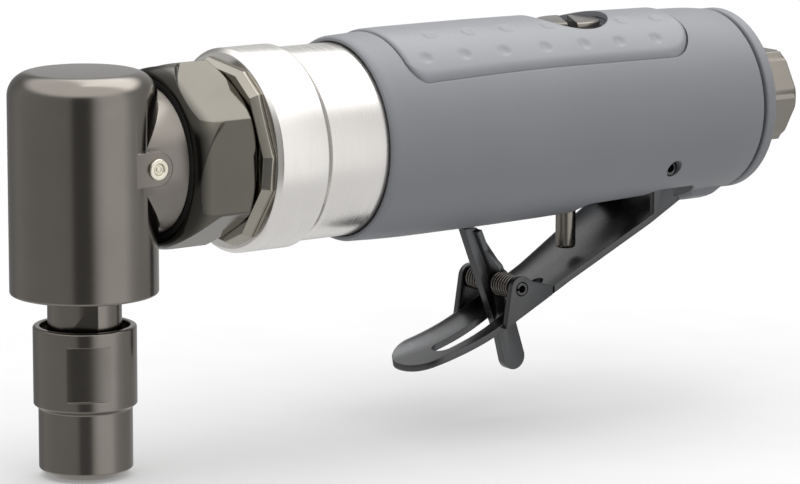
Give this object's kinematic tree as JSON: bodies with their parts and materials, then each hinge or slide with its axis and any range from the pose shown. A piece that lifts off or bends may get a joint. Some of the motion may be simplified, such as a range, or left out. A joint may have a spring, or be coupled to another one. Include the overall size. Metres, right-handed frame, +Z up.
{
  "type": "right angle die grinder",
  "caption": "Right angle air die grinder: angle head with collet, coupling nut, aluminium motor housing, grip, throttle lever with lock, and air inlet.",
  "frame": {"origin": "under the middle of the whole tool's length, at the height of the collet nut's lower end", "axes": "+X along the motor from the angle head to the air inlet, +Y to the tool's left seen from the inlet, +Z up, away from the collet along the spindle"},
  "size_m": [0.1722, 0.0392, 0.0763],
  "materials": {
    "bronzed_steel": "smooth dark bronze coating, semi gloss",
    "polished_bronze": "polished dark bronze plating",
    "turned_aluminium": "finely turned, satin",
    "grey_composite": "satin grey moulding",
    "pale_composite": "smooth grey moulding with dimples",
    "black_oxide": "blackened steel, semi gloss",
    "bare_steel": "bare machined steel",
    "bearing_steel": "ground steel",
    "spring_steel": "black spring wire",
    "brass": "pale brass",
    "black_rubber": "black rubber",
    "vane_resin": "brown resin fabric laminate"
  },
  "bodies": {
    "tool_body": {"angle_housing": "bronzed_steel", "grease_fitting": "brass", "spindle_upper_bearing": "bearing_steel", "spindle_lower_bearing": "bearing_steel", "bearing_cap": "bronzed_steel", "pinion_bearing_1": "bearing_steel", "pinion_bearing_2": "bearing_steel", "coupling_nut": "polished_bronze", "dust_seal": "black_rubber", "jam_ring": "bronzed_steel", "threaded_adapter": "bare_steel", "motor_housing": "turned_aluminium", "front_end_plate": "bare_steel", "rotor_front_bearing": "bearing_steel", "dowel_pin": "bearing_steel", "cylinder_liner": "bare_steel", "rear_end_plate": "bare_steel", "rotor_rear_bearing": "bearing_steel", "grip_shell": "grey_composite", "grip_panel": "pale_composite", "valve_bush": "brass", "valve_spring": "spring_steel", "inlet_bushing": "bare_steel", "inlet_screen": "brass", "lever_pin": "black_oxide"},
    "rotor_unit": {"rotor": "bare_steel", "drive_pinion": "bearing_steel", "vane_1": "vane_resin", "vane_2": "vane_resin", "vane_3": "vane_resin", "vane_4": "vane_resin", "vane_5": "vane_resin"},
    "spindle_unit": {"spindle": "bronzed_steel", "driven_gear": "bearing_steel"},
    "collet_unit": {"collet": "bare_steel"},
    "collet_nut_unit": {"collet_nut": "bronzed_steel"},
    "throttle_unit": {"throttle_lever": "black_oxide", "lock_pin": "black_oxide", "lock_spring_near": "spring_steel", "lock_spring_far": "spring_steel"},
    "lock_unit": {"lock_lever": "black_oxide"},
    "valve_unit": {"valve_stem": "bare_steel"},
    "regulator_unit": {"regulator": "bare_steel", "regulator_seal": "black_rubber"},
    "deflector_unit": {"exhaust_deflector": "grey_composite"}
  },
  "joints": [
    {"name": "rotor_spin", "type": "hinge", "parent": "tool_body", "child": "rotor_unit", "pos_m": [-0.0226, 0, 0.0562], "axis": [1, 0, 0], "continuous": true},
    {"name": "spindle_spin", "type": "hinge", "parent": "tool_body", "child": "spindle_unit", "pos_m": [-0.0726, 0, 0.0462], "axis": [0, 0, 1], "continuous": true},
    {"name": "collet_slide", "type": "slide", "parent": "spindle_unit", "child": "collet_unit", "axis": [0, 0, -1], "range_m": [0, 0.0025]},
    {"name": "collet_nut_turn", "type": "hinge", "parent": "collet_unit", "child": "collet_nut_unit", "pos_m": [-0.0726, 0, 0.0162], "axis": [0, 0, -1], "range_deg": [0, 722]},
    {"name": "throttle_squeeze", "type": "hinge", "parent": "tool_body", "child": "throttle_unit", "pos_m": [0.0504, 0, 0.0462], "axis": [0, 1, 0], "range_deg": [0, 10], "stiffness_Nm_per_rad": 0.5, "springref_deg": -17.19},
    {"name": "lock_swing", "type": "hinge", "parent": "throttle_unit", "child": "lock_unit", "pos_m": [0.0193, 0, 0.0249], "axis": [0, 1, 0], "range_deg": [-51, 0]},
    {"name": "valve_press", "type": "slide", "parent": "tool_body", "child": "valve_unit", "axis": [0, 0, 1], "range_m": [0, 0.0031], "deforming": ["valve_spring"]},
    {"name": "regulator_turn", "type": "hinge", "parent": "tool_body", "child": "regulator_unit", "pos_m": [0.0362, 0, 0.0722], "axis": [0, 0, 1], "range_deg": [-120, 120]},
    {"name": "deflector_turn", "type": "hinge", "parent": "tool_body", "child": "deflector_unit", "pos_m": [0.0724, 0, 0.0562], "axis": [1, 0, 0], "range_deg": [-180, 180]}
  ],
  "couplings": [
    {"joint": "spindle_spin", "follows": "rotor_spin", "ratio": 0.8125},
    {"joint": "collet_nut_turn", "follows": "collet_slide", "rad_per_m": 5026.5},
    {"joint": "lock_swing", "follows": "throttle_squeeze", "ratio": -5},
    {"joint": "valve_press", "follows": "throttle_squeeze", "m_per_rad": 0.0175}
  ]
}
